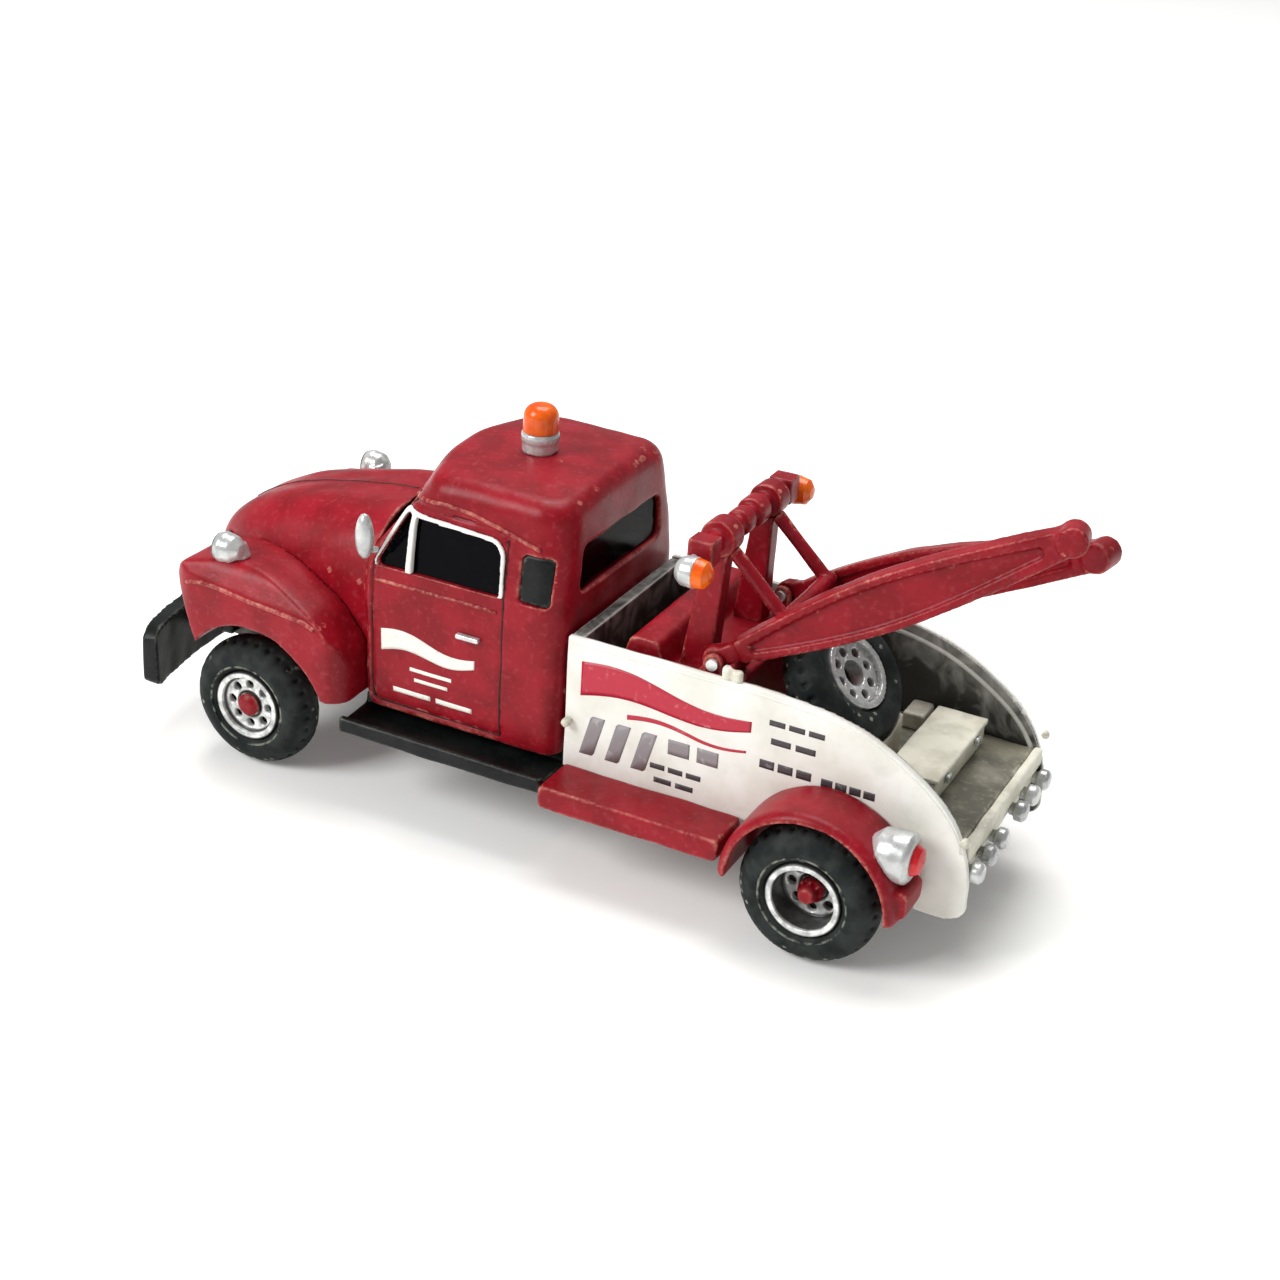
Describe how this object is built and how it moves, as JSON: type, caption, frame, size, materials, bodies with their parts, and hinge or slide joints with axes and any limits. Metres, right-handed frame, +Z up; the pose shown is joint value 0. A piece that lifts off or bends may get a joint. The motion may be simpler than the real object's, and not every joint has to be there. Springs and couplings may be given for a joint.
{
  "type": "toy tow truck",
  "caption": "Small-scale toy tow truck: rounded pickup cab, open bed with swept side panels, and a twin-boom crane whose booms swing and raise; the wheels roll on steel axles.",
  "frame": {"origin": "bottom centre of the whole truck's bounding box, where the tyres meet the ground", "axes": "+Z up, +X to the rear, +Y to the truck's right side, so the front faces -X"},
  "size_m": [0.0616, 0.0226, 0.0272],
  "materials": {
    "red_paint": "hand-painted satin red, mottled, worn pale on edges",
    "ivory_paint": "hand-painted satin ivory with a grey-brown wash",
    "black_paint": "hand-painted satin black",
    "silver_paint": "hand-painted silver",
    "frame_metal": "dark painted white-metal casting",
    "axle_steel": "plain turned steel",
    "tyre_rubber": "black rubber with dry-brushed shoulders",
    "seat_black": "dark matt",
    "amber_lens": "glossy amber",
    "red_lens": "glossy red",
    "clear_glass": "dark clear sheet",
    "door_glass_tint": "dark tinted sheet",
    "white_paint": "hand-painted off-white"
  },
  "bodies": {
    "truck": {"beacon_base": "silver_paint", "beacon_dome": "amber_lens", "bed_bearers": "frame_metal", "bed_cleats": "ivory_paint", "bed_floor": "ivory_paint", "bed_front_panel": "ivory_paint", "bed_sides": "ivory_paint", "bench_seat": "seat_black", "bumper_irons": "frame_metal", "cab_floor": "seat_black", "cab_shell": "red_paint", "cab_steps": "black_paint", "chassis_frame": "frame_metal", "deck_step": "ivory_paint", "door_glass": "door_glass_tint", "door_handles": "silver_paint", "door_window_trims": "white_paint", "front_bumper": "black_paint", "front_fenders": "red_paint", "grille_bars": "silver_paint", "grille_shell": "black_paint", "headlight_lenses": "silver_paint", "headlights": "silver_paint", "hood": "red_paint", "mast_base": "red_paint", "mast_braces": "red_paint", "mast_crosshead": "red_paint", "mast_lamp_lenses": "amber_lens", "mast_lamps": "silver_paint", "mast_towers": "red_paint", "quarter_windows": "black_paint", "rear_boards": "red_paint", "rear_fenders": "red_paint", "rear_pegs": "silver_paint", "rear_sill": "ivory_paint", "rear_window_glass": "clear_glass", "side_lamps": "silver_paint", "spare_cradle": "ivory_paint", "spare_rim": "silver_paint", "spare_tyre": "tyre_rubber", "tail_lamp_lenses": "red_lens", "tail_lamps": "silver_paint", "toolbox": "ivory_paint", "toolbox_latches": "silver_paint", "toolbox_lid": "ivory_paint", "windshield_glass": "clear_glass"},
    "front_wheels": {"front_axle": "axle_steel", "front_tyres": "tyre_rubber", "front_rims": "silver_paint", "front_hubs": "red_paint"},
    "rear_wheels": {"rear_axle": "axle_steel", "rear_tyres": "tyre_rubber", "rear_rims": "silver_paint", "rear_hubs": "red_paint"},
    "swivel_left": {"boom_swivel_left": "red_paint", "boom_pin_left": "silver_paint"},
    "swivel_right": {"boom_swivel_right": "red_paint", "boom_pin_right": "silver_paint"},
    "boom_left_arm": {"boom_left": "red_paint"},
    "boom_right_arm": {"boom_right": "red_paint"}
  },
  "joints": [
    {"name": "front_axle_spin", "type": "hinge", "parent": "truck", "child": "front_wheels", "pos_m": [-0.02127, 0, 0.0044], "axis": [0, 1, 0], "continuous": true},
    {"name": "rear_axle_spin", "type": "hinge", "parent": "truck", "child": "rear_wheels", "pos_m": [0.01873, 0, 0.0044], "axis": [0, 1, 0], "continuous": true},
    {"name": "boom_swing_left", "type": "hinge", "parent": "truck", "child": "swivel_left", "pos_m": [0.00983, -0.0054, 0.0151], "axis": [0, 0, 1], "range_deg": [-20, 0]},
    {"name": "boom_swing_right", "type": "hinge", "parent": "truck", "child": "swivel_right", "pos_m": [0.00983, 0.0054, 0.0151], "axis": [0, 0, 1], "range_deg": [0, 20]},
    {"name": "boom_luff_left", "type": "hinge", "parent": "swivel_left", "child": "boom_left_arm", "pos_m": [0.00983, -0.0054, 0.0151], "axis": [0.1685, -0.9857, 0], "range_deg": [-5, 25]},
    {"name": "boom_luff_right", "type": "hinge", "parent": "swivel_right", "child": "boom_right_arm", "pos_m": [0.00983, 0.0054, 0.0151], "axis": [-0.2079, -0.9781, 0], "range_deg": [-5, 25]}
  ]
}
